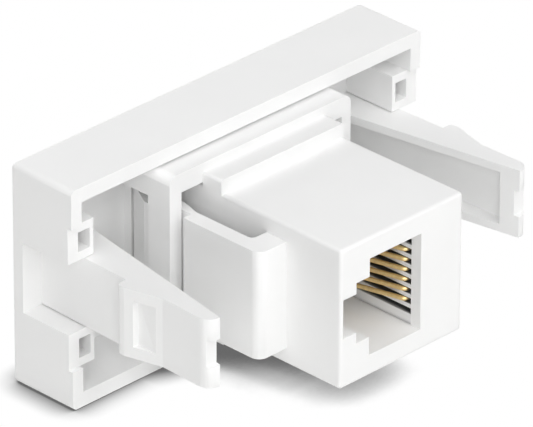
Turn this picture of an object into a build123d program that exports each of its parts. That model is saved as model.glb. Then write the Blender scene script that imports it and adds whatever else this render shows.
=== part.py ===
"""Snap-in telephone module: a keystone coupler with a six-contact modular socket at each end,
held in a frame that snaps into a 45 mm wiring opening.

Millimetres. X runs along the face, Y from the front face to the rear, Z up.
The origin is the centre of the frame's front face."""

from build123d import *
import os

# Face and rim of the frame
face_length = 45.0
face_height = 22.5
plate_thickness = 1.5
rim_depth = 7.9
long_wall = 1.5
end_wall = 1.3
face_round = 0.5

# Square tubes in the frame's corners, above and below each snap arm
boss_length = 3.2
boss_height = 3.7
boss_recess = 0.5
boss_hole_length = 1.8
boss_hole_height = 2.0
boss_hole_depth = 4.5
boss_hole_inset = 0.95

# Snap arms of the frame
arm_height = 7.0
arm_clearance = 0.1
arm_reach = 23.6
arm_root_inset = 2.3
arm_root_thickness = 4.6
arm_tip_inset = 1.7
arm_tip_thickness = 1.4
arm_tip_round = 1.2
arm_flange = 0.8
arm_web = 0.75
arm_solid_tip = 2.1
tip_notch_height = 2.65
tip_notch_depth = 0.55
hook_seat = 12.8
hook_proud = 1.15
hook_top = 0.9
hook_length = 4.8
hook_round = 0.45
hook_rib = 1.8
hook_pocket_height = 4.7
hook_pocket_floor = 0.2

# Collar of the frame, which holds the keystone coupler
collar_depth = 9.85
collar_latch_side = 12.1
collar_lug_side = 11.25
collar_height = 18.9
collar_latch_wall = 1.5
collar_lug_wall = 1.15
collar_opening_height = 14.9
collar_round = 0.9
lip_thickness = 0.9
lip_gap = 0.9
window_rear = 7.05
window_height = 13.3
ledge_thickness = 2.95
ledge_recess = 1.0
ledge_clearance = 0.3
front_window_clearance = 0.25

# Body of the coupler
body_length = 15.8
body_height = 14.26
body_round = 0.35
coupler_inset = 0.2
flange_thickness = 2.4
flange_height = 17.1
lug_reach = 1.7
lug_height = 10.0
lug_front_gap = 0.5
lug_rear_gap = 0.3

# Latch of the coupler, a strip folded back along the body
latch_height = 11.0
latch_thickness = 1.6
latch_gap = 1.85
latch_web = 2.5
latch_root_from_rear = 6.8
latch_outer_round = 1.0
latch_inner_round = 0.6
latch_shoulder_gap = 1.0
latch_tip_thickness = 1.15
latch_tip_clearance = 0.25
latch_tip_gap = 0.4
catch_reach = 1.1
catch_clearance = 0.2
catch_land = 0.7

# Modular sockets
socket_height = 6.67
socket_width = 9.9
socket_depth = 11.65
contact_wall_offset = 2.48
step_height = 1.69
step_width = 6.2
slot_height = 1.68
slot_width = 3.95
tab_depth = 8.0
face_wall = 1.2

# Contact carriers
slot_count = 8
contact_count = 6
contact_pitch = 1.02
comb_thickness = 1.92
comb_slot_width = 0.6
comb_slot_depth = 1.2
carrier_base = 1.0
carrier_standoff = 0.5
carrier_foot = 0.4
carrier_clearance = 0.05

# Circuit board between the carriers
board_thickness = 0.8
board_length = 13.0
board_height = 11.6
board_hole = 0.6
board_clearance = 0.1
spigot_clearance = 0.05

# Contact wires
wire_diameter = 0.45
wire_tail = 0.35
wire_mouth_gap = 0.5
wire_bend = 0.4
wire_turn = 0.95
wire_slope = 0.27
wire_free_run = 7.95

# Places worked out from the sizes above
half_length = face_length / 2
half_height = face_height / 2
lip_rear = plate_thickness + lip_thickness
boss_rear = rim_depth - boss_recess
arm_window = arm_height / 2 + arm_clearance
boss_top = arm_window + boss_height
collar_latch_inner = collar_latch_side - collar_latch_wall
collar_lug_inner = collar_lug_side - collar_lug_wall
ledge_rear = collar_depth - ledge_recess
ledge_front = ledge_rear - ledge_thickness
body_side = body_length / 2
body_top = body_height / 2
half_stack = board_thickness / 2 + carrier_standoff + carrier_base + socket_depth
coupler_rear = coupler_inset + 2 * half_stack
middle = coupler_inset + half_stack
seam = collar_depth + flange_thickness
comb_side = contact_wall_offset + comb_thickness
socket_side = socket_height - contact_wall_offset
socket_top = socket_width / 2
wire_side = contact_wall_offset + comb_slot_depth - wire_diameter / 2
overrun = 1.0


def block(x, y, z):
    """A box from its low and high places along each axis."""
    size = [high - low for low, high in (x, y, z)]
    centre = [(high + low) / 2 for low, high in (x, y, z)]
    return Pos(*centre) * Box(*size)


def plate_shape(points, height):
    """An outline in the XY plane, extruded equally up and down."""
    outline = make_face(Polyline(*points, close=True))
    return extrude(outline, height / 2, both=True)


def vertical_edges(shape, x, y):
    """The vertical edges of a shape that stand at one place in plan."""
    near = [e for e in shape.edges().filter_by(Axis.Z)
            if abs(e.center().X - x) < 0.01 and abs(e.center().Y - y) < 0.01]
    return near


def mirrored_pair(shape):
    """A shape and its mirror image across the middle of the face."""
    return shape + mirror(shape, Plane.YZ)


def turned(shape):
    """The same piece turned end for end about the middle of the coupler."""
    return Pos(0, 2 * middle, 0) * Rot(0, 0, 180) * shape


# Frame

def arm_outer(y):
    """Distance from the middle to an arm's outer face."""
    share = (y - plate_thickness) / (arm_reach - plate_thickness)
    return half_length - arm_root_inset + share * (arm_root_inset - arm_tip_inset)


def arm_inner(y):
    """Distance from the middle to an arm's inner edge."""
    root = half_length - arm_root_inset - arm_root_thickness
    tip = half_length - arm_tip_inset - arm_tip_thickness
    share = (y - plate_thickness) / (arm_reach - plate_thickness)
    return root + share * (tip - root)


def hook_points(offset):
    """The outline of a snap hook, from its catch face to the end of its ramp."""
    ramp_end = hook_seat + hook_length
    return [(arm_outer(hook_seat) - offset, hook_seat),
            (arm_outer(hook_seat) + hook_proud, hook_seat),
            (arm_outer(hook_seat) + hook_proud, hook_seat + hook_top),
            (arm_outer(ramp_end), ramp_end),
            (arm_outer(ramp_end) - offset, ramp_end)]


def snap_arm():
    """One snap arm: a tapered channel with a hook on its outer face."""
    root = plate_thickness / 2
    arm = plate_shape([(arm_inner(root), root), (arm_outer(root), root),
                       (arm_outer(arm_reach), arm_reach), (arm_inner(arm_reach), arm_reach)],
                      arm_height)
    arm = fillet(vertical_edges(arm, arm_outer(arm_reach), arm_reach), arm_tip_round)
    hollow_end = arm_reach - arm_solid_tip
    hollow = [(arm_inner(plate_thickness) - overrun, plate_thickness),
              (arm_outer(plate_thickness) - arm_web, plate_thickness),
              (arm_outer(hollow_end) - arm_web, hollow_end),
              (arm_inner(hollow_end) - overrun, hollow_end)]
    arm -= plate_shape(hollow, arm_height - 2 * arm_flange)
    hook = plate_shape(hook_points(arm_web / 2), arm_height)
    crest = arm_outer(hook_seat) + hook_proud
    hook = fillet(vertical_edges(hook, crest, hook_seat)
                  + vertical_edges(hook, crest, hook_seat + hook_top), hook_round)
    rib_end = hook_seat + hook_rib
    pocket_end = hook_seat + hook_length + overrun
    pocket = [(arm_outer(rib_end) + hook_pocket_floor, rib_end),
              (arm_outer(rib_end) + hook_proud, rib_end),
              (arm_outer(pocket_end) + hook_proud, pocket_end),
              (arm_outer(pocket_end) + hook_pocket_floor, pocket_end)]
    hook -= plate_shape(pocket, hook_pocket_height)
    notch = block((arm_inner(arm_reach) - overrun, arm_outer(arm_reach) + overrun),
                  (arm_reach - tip_notch_depth, arm_reach + overrun),
                  (-tip_notch_height / 2, tip_notch_height / 2))
    return arm + hook - notch


def boss(low):
    """One square tube at the +X end, standing on the plate."""
    tube = block((half_length - boss_length, half_length), (plate_thickness / 2, boss_rear),
                 (low, low + boss_height))
    hole_low = low + (boss_height - boss_hole_height) / 2
    hole_high = half_length - boss_hole_inset
    return tube - block((hole_high - boss_hole_length, hole_high),
                        (boss_rear - boss_hole_depth, boss_rear + overrun),
                        (hole_low, hole_low + boss_hole_height))


def rim():
    """The face plate with its four walls, rounded on the outside."""
    shell = block((-half_length, half_length), (0, rim_depth), (-half_height, half_height))
    front = shell.faces().sort_by(Axis.Y)[0].edges()
    corners = shell.edges().filter_by(Axis.Y)
    shell = fillet(front + corners, face_round)
    inner = half_length - end_wall
    shell -= block((-inner, inner), (plate_thickness, rim_depth + overrun),
                   (long_wall - half_height, half_height - long_wall))
    recess = block((inner - overrun, half_length + overrun), (boss_rear, rim_depth + overrun),
                   (-boss_top, boss_top))
    window = block((inner - overrun, half_length + overrun),
                   (plate_thickness, rim_depth + overrun), (-arm_window, arm_window))
    return shell - mirrored_pair(recess + window)


def collar():
    """The keystone collar with its ledge for the lug and its window for the latch."""
    wall = block((-collar_lug_side, collar_latch_side), (plate_thickness / 2, collar_depth),
                 (-collar_height / 2, collar_height / 2))
    wall = fillet(wall.edges().filter_by(Axis.Y), collar_round)
    opening_top = collar_opening_height / 2
    wall -= block((-collar_lug_inner, collar_latch_inner),
                  (plate_thickness, collar_depth + overrun), (-opening_top, opening_top))
    wall -= block((collar_latch_inner - overrun, collar_latch_side + overrun),
                  (plate_thickness, window_rear), (-window_height / 2, window_height / 2))
    lip = block((-collar_lug_inner, collar_latch_inner - lip_gap),
                (plate_thickness / 2, lip_rear), (-opening_top, opening_top))
    ledge = block((-collar_lug_inner, -body_side - ledge_clearance),
                  (ledge_front, ledge_rear), (-opening_top, opening_top))
    return wall + lip + ledge


def module_frame():
    """The frame: face, rim, corner tubes, snap arms and keystone collar in one moulding."""
    ends = boss(arm_window) + boss(-arm_window - boss_height) + snap_arm()
    frame = rim() + mirrored_pair(ends) + collar()
    side = body_side + front_window_clearance
    top = body_top + front_window_clearance
    return frame - block((-side, side), (-overrun, lip_rear + overrun), (-top, top))


# Coupler, drawn for the rear end and turned about for the front end

def socket_cut():
    """The space inside a socket: plug opening, tab slot and the comb's pocket."""
    opening = block((-contact_wall_offset, socket_side), (middle - overrun, coupler_rear + overrun),
                    (-socket_top, socket_top))
    step = block((socket_side - overrun, socket_side + step_height),
                 (coupler_rear - tab_depth, coupler_rear + overrun), (-step_width / 2, step_width / 2))
    slot_side = socket_side + step_height + slot_height
    slot = block((socket_side - overrun, slot_side),
                 (coupler_rear - tab_depth, coupler_rear + overrun), (-slot_width / 2, slot_width / 2))
    pocket = block((-comb_side - carrier_clearance, -contact_wall_offset + overrun),
                   (middle - overrun, coupler_rear - face_wall), (-socket_top, socket_top))
    return opening + step + slot + pocket


def coupler_body(front, rear, height):
    """A rounded length of the coupler's body."""
    shape = block((-body_side, body_side), (front, rear), (-height / 2, height / 2))
    return fillet(shape.edges().filter_by(Axis.Y), body_round)


def front_shell():
    """The front half of the coupler: nose, lug, flange and a spigot that grips the board."""
    nose = coupler_body(coupler_inset, seam, body_height)
    nose = fillet(nose.faces().sort_by(Axis.Y)[0].edges(), body_round / 2)
    flange = coupler_body(collar_depth, seam, flange_height)
    lug = block((-body_side - lug_reach, -body_side + overrun),
                (lip_rear + lug_front_gap, ledge_front - lug_rear_gap),
                (-lug_height / 2, lug_height / 2))
    lug = chamfer(vertical_edges(lug, -body_side - lug_reach, lip_rear + lug_front_gap), lug_reach / 2)
    spigot_side = board_length / 2 + board_clearance - spigot_clearance
    spigot_top = board_height / 2 + board_clearance - spigot_clearance
    spigot = block((-spigot_side, spigot_side), (seam - overrun, middle - board_thickness / 2),
                   (-spigot_top, spigot_top))
    return nose + flange + lug + spigot - turned(socket_cut())


def latch():
    """The folded latch strip with its shoulder and catch."""
    inner = body_side + latch_gap
    outer = inner + latch_thickness
    web_rear = coupler_rear - latch_root_from_rear
    web_front = web_rear - latch_web
    shoulder = collar_depth + latch_shoulder_gap
    tip_outer = collar_latch_inner - latch_tip_clearance
    tip_inner = tip_outer - latch_tip_thickness
    catch_rear = window_rear - catch_clearance
    catch_outer = collar_latch_inner + catch_reach
    tip_front = lip_rear + latch_tip_gap
    root = body_side - overrun
    points = [(root, web_rear), (outer, web_rear), (outer, shoulder), (tip_outer, shoulder),
              (tip_outer, catch_rear), (catch_outer, catch_rear),
              (catch_outer, catch_rear - catch_land), (tip_inner + latch_tip_thickness / 2, tip_front),
              (tip_inner, tip_front), (tip_inner, collar_depth - latch_shoulder_gap),
              (inner, shoulder), (inner, web_front), (root, web_front)]
    strip = plate_shape(points, latch_height)
    strip = fillet(vertical_edges(strip, outer, web_rear), latch_outer_round)
    return fillet(vertical_edges(strip, inner, web_front), latch_inner_round)


def rear_shell():
    """The rear half of the coupler with its socket, board seat and latch."""
    body = coupler_body(seam, coupler_rear, body_height)
    body = fillet(body.faces().sort_by(Axis.Y)[-1].edges(), body_round)
    seat_side = board_length / 2 + board_clearance
    seat_top = board_height / 2 + board_clearance
    seat = block((-seat_side, seat_side), (seam - overrun, middle + board_thickness / 2),
                 (-seat_top, seat_top))
    return body + latch() - seat - socket_cut()


def slot_places(count):
    """Heights of evenly pitched slots about the middle."""
    return [(i - (count - 1) / 2) * contact_pitch for i in range(count)]


def contact_carrier():
    """The rear carrier: a slotted comb wall on a base that stands on the board."""
    board_face = middle + board_thickness / 2
    base_front = board_face + carrier_standoff
    base_rear = base_front + carrier_base
    top = socket_top - carrier_clearance
    far_side = socket_side - carrier_clearance
    comb = block((-comb_side, -contact_wall_offset), (board_face, coupler_rear - face_wall),
                 (-top, top))
    base = block((-comb_side, far_side), (base_front, base_rear), (-top, top))
    foot = block((far_side - carrier_foot, far_side), (board_face, base_rear), (-top, top))
    carrier = comb + base + foot
    for index, place in enumerate(slot_places(slot_count)):
        start = base_rear if index in (0, slot_count - 1) else board_face - overrun
        carrier -= block((-contact_wall_offset - comb_slot_depth, -contact_wall_offset),
                         (start, coupler_rear), (place - comb_slot_width / 2, place + comb_slot_width / 2))
    return carrier


def contact_wire(place):
    """One spring contact: tail through the board, run in its slot, turn and free end."""
    tail_end = middle - board_thickness / 2 - wire_tail
    turn = coupler_rear - face_wall - wire_mouth_gap - wire_diameter / 2
    turned_side = wire_side - wire_turn
    path = FilletPolyline((-wire_side, tail_end, place), (-wire_side, turn, place),
                          (-turned_side, turn, place),
                          (-turned_side + wire_slope * wire_free_run, turn - wire_free_run, place),
                          radius=wire_bend)
    section = Plane(origin=(-wire_side, tail_end, place), z_dir=(0, 1, 0)) * Circle(wire_diameter / 2)
    return sweep(section, path=path)


def circuit_board():
    """The board that joins the two rows of contacts."""
    board = block((-board_length / 2, board_length / 2),
                  (middle - board_thickness / 2, middle + board_thickness / 2),
                  (-board_height / 2, board_height / 2))
    for side in (-wire_side, wire_side):
        for place in slot_places(contact_count):
            board -= Pos(side, middle, place) * Rot(90, 0, 0) * Cylinder(board_hole / 2, 2 * board_thickness)
    return board


nodes = {
    "module_frame": module_frame(),
    "front_shell": front_shell(),
    "rear_shell": rear_shell(),
    "rear_contact_carrier": contact_carrier(),
    "front_contact_carrier": turned(contact_carrier()),
    "circuit_board": circuit_board(),
}
for number, place in enumerate(slot_places(contact_count), start=1):
    nodes[f"rear_contact_{number}"] = contact_wire(place)
    nodes[f"front_contact_{number}"] = turned(contact_wire(place))

os.makedirs("parts", exist_ok=True)
for name, shape in nodes.items():
    export_step(shape, f"parts/{name}.step")
    box = shape.bounding_box()
    print(f"{name:24s} volume {shape.volume:9.2f}  low {tuple(box.min)}  high {tuple(box.max)}")
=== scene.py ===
"""Looks for the telephone module: materials, floor, lamps and the photograph's camera.

Metres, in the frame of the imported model: X along the face, Y to the rear, Z up."""

import math

import bpy
from mathutils import Matrix, Vector


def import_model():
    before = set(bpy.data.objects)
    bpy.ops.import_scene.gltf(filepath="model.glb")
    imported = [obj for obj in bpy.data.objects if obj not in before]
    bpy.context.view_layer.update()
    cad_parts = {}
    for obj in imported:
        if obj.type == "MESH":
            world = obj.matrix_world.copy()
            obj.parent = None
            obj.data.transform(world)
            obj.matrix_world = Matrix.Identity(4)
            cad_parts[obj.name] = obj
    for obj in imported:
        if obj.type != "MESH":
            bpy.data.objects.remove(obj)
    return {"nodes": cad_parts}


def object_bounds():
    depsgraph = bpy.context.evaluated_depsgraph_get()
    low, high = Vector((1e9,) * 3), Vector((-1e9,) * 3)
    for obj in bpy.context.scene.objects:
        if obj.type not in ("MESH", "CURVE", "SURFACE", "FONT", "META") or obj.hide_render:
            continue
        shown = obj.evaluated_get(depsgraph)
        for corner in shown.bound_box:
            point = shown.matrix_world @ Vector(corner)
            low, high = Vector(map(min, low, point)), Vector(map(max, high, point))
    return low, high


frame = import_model()
cad_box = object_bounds()
nodes = frame["nodes"]
MM = 0.001
GAP_UNDER = 0.1 * MM

# Camera, fitted to the photograph
CAMERA_AZIMUTH = 134.672
CAMERA_ELEVATION = 28.515
CAMERA_ROLL = 0.195
CAMERA_DISTANCE = 705.16
CAMERA_SHIFT = (0.110, 1.120)
PIXELS_PER_MM = 10.943
PICTURE_WIDTH = 533
AIM = Vector((0, 10, 0))

# Colours
MODULE_WHITE = (0.955, 0.955, 0.952)
SHELL_WHITE = (0.955, 0.955, 0.952)
INSERT_GREY = (0.84, 0.84, 0.84)
BOARD_GREEN = (0.05, 0.22, 0.11)
GOLD = (0.97, 0.72, 0.35)
FLOOR_WHITE = (0.93, 0.93, 0.92)

# Surfaces: noise scales per metre, reliefs and roundings in metres
MODULE_ROUGHNESS = 0.42
SHELL_ROUGHNESS = 0.36
INSERT_ROUGHNESS = 0.55
BOARD_ROUGHNESS = 0.35
GOLD_ROUGHNESS = 0.42
FLOOR_ROUGHNESS = 0.9
PLASTIC_IOR = 1.5
TINT_START, TINT_END = 0.3, 0.7
FLOW_SCALE = 160
MODULE_GRAIN = 9000
SHELL_GRAIN = 12000
WEAVE_SCALE = 2500
STREAK_SCALE = 4000
GRAIN_RELIEF = 0.02 * MM
STREAK_RELIEF = 0.01 * MM
# reach of the painted shade in the comb's slots
SLOT_SHADE_REACH = 1.2 * MM
OPENNESS_SAMPLES = 32
WELD_REACH = 0.001 * MM
EDGE_ROUND = 0.08 * MM
SHARP_ANGLE = 50

# Light: lamps by azimuth and elevation in degrees and power in watts
WORLD_LIGHT = 0.27
LAMP_DISTANCE = 0.6
LAMP_SIZE = 0.4
LAMPS = {
    "rear_lamp": (190, 42, 1.15),
    "near_lamp": (136, 28, 1.25),
    "top_lamp": (150, 75, 0.75),
    "front_lamp": (350, 14, 1.4),
}

# Floor and its painted shadow: reach in metres, and the openness where it starts and ends
FLOOR_SIDE = 3.0
CONTACT_SHADOW = (0.003, 0.37, 0.95)
WIDE_SHADOW = (0.008, 0.23, 0.46)
SHADOW_TONES = (0.14, 1.0)


def direction(azimuth, elevation):
    """The way from the module to a camera or lamp, with the azimuth counted from the front."""
    azimuth, elevation = math.radians(azimuth), math.radians(elevation)
    return Vector((math.sin(azimuth) * math.cos(elevation),
                   -math.cos(azimuth) * math.cos(elevation), math.sin(elevation)))


def camera():
    """The photograph's camera."""
    azimuth, roll = math.radians(CAMERA_AZIMUTH), math.radians(CAMERA_ROLL)
    right = Vector((math.cos(azimuth), math.sin(azimuth), 0))
    back = direction(CAMERA_AZIMUTH, CAMERA_ELEVATION)
    up = back.cross(right)
    tilted_right = math.cos(roll) * right + math.sin(roll) * up
    tilted_up = math.cos(roll) * up - math.sin(roll) * right
    place = AIM + CAMERA_SHIFT[0] * tilted_right + CAMERA_SHIFT[1] * tilted_up + CAMERA_DISTANCE * back
    data = bpy.data.cameras.new("camera")
    data.sensor_width = 36
    data.lens = PIXELS_PER_MM * CAMERA_DISTANCE * data.sensor_width / PICTURE_WIDTH
    data.clip_start, data.clip_end = 0.05, 20
    thing = bpy.data.objects.new("camera", data)
    turn = Matrix((tilted_right, tilted_up, back)).transposed().to_4x4()
    thing.matrix_world = Matrix.Translation(place * MM) @ turn
    bpy.context.scene.collection.objects.link(thing)
    bpy.context.scene.camera = thing


def material(name, colour, roughness, metallic=0.0):
    """A material with its node tree and its shader."""
    made = bpy.data.materials.new(name)
    made.use_nodes = True
    tree = made.node_tree
    shader = tree.nodes["Principled BSDF"]
    shader.inputs["Base Color"].default_value = (*colour, 1)
    shader.inputs["Roughness"].default_value = roughness
    shader.inputs["Metallic"].default_value = metallic
    return made, tree, shader


def noise(tree, scale, detail=3.0):
    """A noise pattern in the object's own metres."""
    place = tree.nodes.new("ShaderNodeTexCoord")
    pattern = tree.nodes.new("ShaderNodeTexNoise")
    pattern.inputs["Scale"].default_value = scale
    pattern.inputs["Detail"].default_value = detail
    tree.links.new(place.outputs["Object"], pattern.inputs["Vector"])
    return pattern.outputs["Fac"]


def spread(tree, fac, low, high, start=0.0, end=1.0):
    """The pattern mapped to a range of values."""
    mapped = tree.nodes.new("ShaderNodeMapRange")
    mapped.inputs["From Min"].default_value = start
    mapped.inputs["From Max"].default_value = end
    mapped.inputs["To Min"].default_value = low
    mapped.inputs["To Max"].default_value = high
    tree.links.new(fac, mapped.inputs["Value"])
    return mapped.outputs["Result"]


def tone_or_painted_shade(tree, shader, fac, dark, light):
    """Colour that moves between two tones by a pattern: a faint drift, or painted shade where the
    pattern is openness.
    """
    ramp = tree.nodes.new("ShaderNodeValToRGB")
    ramp.color_ramp.elements[0].position = TINT_START
    ramp.color_ramp.elements[0].color = (*dark, 1)
    ramp.color_ramp.elements[1].position = TINT_END
    ramp.color_ramp.elements[1].color = (*light, 1)
    tree.links.new(fac, ramp.inputs["Fac"])
    tree.links.new(ramp.outputs["Color"], shader.inputs["Base Color"])


def rough_surface(tree, shader, fac, strength, distance):
    """Fine relief from a pattern."""
    bump = tree.nodes.new("ShaderNodeBump")
    bump.inputs["Strength"].default_value = strength
    bump.inputs["Distance"].default_value = distance
    tree.links.new(fac, bump.inputs["Height"])
    tree.links.new(bump.outputs["Normal"], shader.inputs["Normal"])


def openness(tree, reach):
    """How open a point is: 1 in the open and less where something stands within reach."""
    near = tree.nodes.new("ShaderNodeAmbientOcclusion")
    near.inputs["Distance"].default_value = reach
    near.samples = OPENNESS_SAMPLES
    return near.outputs["AO"]


def scaled(colour, share):
    """A tone made lighter or darker."""
    return tuple(min(1.0, part * share) for part in colour)


def spark_eroded(tree, shader, roughness, grain):
    """The fine grain of a mould's wall: a roughness that varies and a slight relief."""
    fine = noise(tree, grain, 2.0)
    tree.links.new(spread(tree, fine, roughness - 0.05, roughness + 0.07), shader.inputs["Roughness"])
    rough_surface(tree, shader, fine, 0.12, GRAIN_RELIEF)


def moulding(name, colour, roughness, grain):
    """White moulded plastic with faint flow tones and a fine grain."""
    made, tree, shader = material(name, colour, roughness)
    shader.inputs["IOR"].default_value = PLASTIC_IOR
    tone_or_painted_shade(tree, shader, noise(tree, FLOW_SCALE), scaled(colour, 0.985), scaled(colour, 1.01))
    spark_eroded(tree, shader, roughness, grain)
    return made


def board_material():
    """Green glass-fibre board with a faint weave."""
    made, tree, shader = material("board", BOARD_GREEN, BOARD_ROUGHNESS)
    weave = noise(tree, WEAVE_SCALE)
    tone_or_painted_shade(tree, shader, weave, scaled(BOARD_GREEN, 0.8), scaled(BOARD_GREEN, 1.25))
    rough_surface(tree, shader, weave, 0.1, GRAIN_RELIEF)
    return made


def insert_material():
    """Pale moulded comb with painted shade down in its slots."""
    made, tree, shader = material("insert_plastic", INSERT_GREY, INSERT_ROUGHNESS)
    # painted shade: the comb's colour darkens to near black in its slots, where openness is low
    tone_or_painted_shade(tree, shader, openness(tree, SLOT_SHADE_REACH), scaled(INSERT_GREY, 0.08), INSERT_GREY)
    spark_eroded(tree, shader, INSERT_ROUGHNESS, MODULE_GRAIN)
    return made


def gold_material():
    """Gold plated wire with drawn streaks."""
    made, tree, shader = material("contact_gold", GOLD, GOLD_ROUGHNESS, metallic=1.0)
    streak = noise(tree, STREAK_SCALE)
    tone_or_painted_shade(tree, shader, streak, scaled(GOLD, 0.9), scaled(GOLD, 1.06))
    roughness = spread(tree, streak, GOLD_ROUGHNESS - 0.06, GOLD_ROUGHNESS + 0.08)
    tree.links.new(roughness, shader.inputs["Roughness"])
    rough_surface(tree, shader, streak, 0.08, STREAK_RELIEF)
    return made


def dress(names, made):
    """The material on every slot of these pieces."""
    for name in names:
        mesh = nodes[name].data
        mesh.materials.clear()
        mesh.materials.append(made)


def soften(names):
    """Small rounded edges, as a mould leaves them."""
    for name in names:
        weld = nodes[name].modifiers.new("weld", "WELD")
        weld.merge_threshold = WELD_REACH
        edge = nodes[name].modifiers.new("edges", "BEVEL")
        edge.width = EDGE_ROUND
        edge.segments = 2
        edge.limit_method = "ANGLE"
        edge.angle_limit = math.radians(SHARP_ANGLE)
        edge.harden_normals = True


def only_lights(tree, base, seen):
    """Shader that shows one input to lamps and surfaces and the other to the camera and reflections."""
    path = tree.nodes.new("ShaderNodeLightPath")
    mix = tree.nodes.new("ShaderNodeMixShader")
    most = path.outputs["Is Camera Ray"]
    for ray in ("Is Glossy Ray", "Is Transmission Ray"):
        pick = tree.nodes.new("ShaderNodeMath")
        pick.operation = "MAXIMUM"
        tree.links.new(most, pick.inputs[0])
        tree.links.new(path.outputs[ray], pick.inputs[1])
        most = pick.outputs[0]
    tree.links.new(most, mix.inputs["Fac"])
    tree.links.new(base, mix.inputs[1])
    tree.links.new(seen, mix.inputs[2])
    return mix.outputs["Shader"]


def world():
    """Even light from all round, white where it is seen."""
    made = bpy.data.worlds.new("studio")
    made.use_nodes = True
    tree = made.node_tree
    lit = tree.nodes["Background"]
    lit.inputs["Color"].default_value = (1, 1, 1, 1)
    lit.inputs["Strength"].default_value = WORLD_LIGHT
    shown = tree.nodes.new("ShaderNodeBackground")
    shown.inputs["Color"].default_value = (1, 1, 1, 1)
    shown.inputs["Strength"].default_value = 1
    out = tree.nodes["World Output"]
    tree.links.new(only_lights(tree, lit.outputs[0], shown.outputs[0]), out.inputs["Surface"])
    bpy.context.scene.world = made


def painted_shadow(tree, reach, start, end):
    """Brightness of the floor's painted shadow, darker where something stands within reach."""
    return spread(tree, openness(tree, reach), *SHADOW_TONES, start, end)


def floor():
    """A plain pale floor under the module's lower side, which the camera sees with a painted shadow."""
    mesh = bpy.data.meshes.new("floor")
    side, low = FLOOR_SIDE / 2, cad_box[0].z - GAP_UNDER
    mesh.from_pydata([(-side, -side, low), (side, -side, low), (side, side, low), (-side, side, low)],
                     [], [(0, 1, 2, 3)])
    thing = bpy.data.objects.new("floor", mesh)
    bpy.context.scene.collection.objects.link(thing)
    made, tree, shader = material("floor", FLOOR_WHITE, FLOOR_ROUGHNESS)
    shader.inputs["Specular IOR Level"].default_value = 0.0
    darker = tree.nodes.new("ShaderNodeMath")
    darker.operation = "MINIMUM"
    tree.links.new(painted_shadow(tree, *CONTACT_SHADOW), darker.inputs[0])
    tree.links.new(painted_shadow(tree, *WIDE_SHADOW), darker.inputs[1])
    # painted shadow: to the camera the floor glows white, darker by openness near the module
    glow = tree.nodes.new("ShaderNodeEmission")
    tree.links.new(darker.outputs[0], glow.inputs["Strength"])
    out = tree.nodes["Material Output"]
    tree.links.new(only_lights(tree, shader.outputs[0], glow.outputs[0]), out.inputs["Surface"])
    mesh.materials.append(made)


def lamp(name, azimuth, elevation, power):
    """A square soft lamp that points at the module from a direction."""
    back = direction(azimuth, elevation)
    data = bpy.data.lights.new(name, "AREA")
    data.size = LAMP_SIZE
    data.energy = power
    thing = bpy.data.objects.new(name, data)
    thing.location = AIM * MM + back * LAMP_DISTANCE
    thing.rotation_mode = "QUATERNION"
    thing.rotation_quaternion = back.to_track_quat("Z", "Y")
    bpy.context.scene.collection.objects.link(thing)


bpy.context.scene.view_settings.view_transform = "Standard"
camera()
world()
floor()
for name, (azimuth, elevation, power) in LAMPS.items():
    lamp(name, azimuth, elevation, power)

contacts = [name for name in nodes if "_contact_" in name and "carrier" not in name]
shells = ["front_shell", "rear_shell"]
carriers = ["front_contact_carrier", "rear_contact_carrier"]
dress(["module_frame"], moulding("module_plastic", MODULE_WHITE, MODULE_ROUGHNESS, MODULE_GRAIN))
dress(shells, moulding("shell_plastic", SHELL_WHITE, SHELL_ROUGHNESS, SHELL_GRAIN))
dress(carriers, insert_material())
dress(["circuit_board"], board_material())
dress(contacts, gold_material())
soften(["module_frame", *shells])
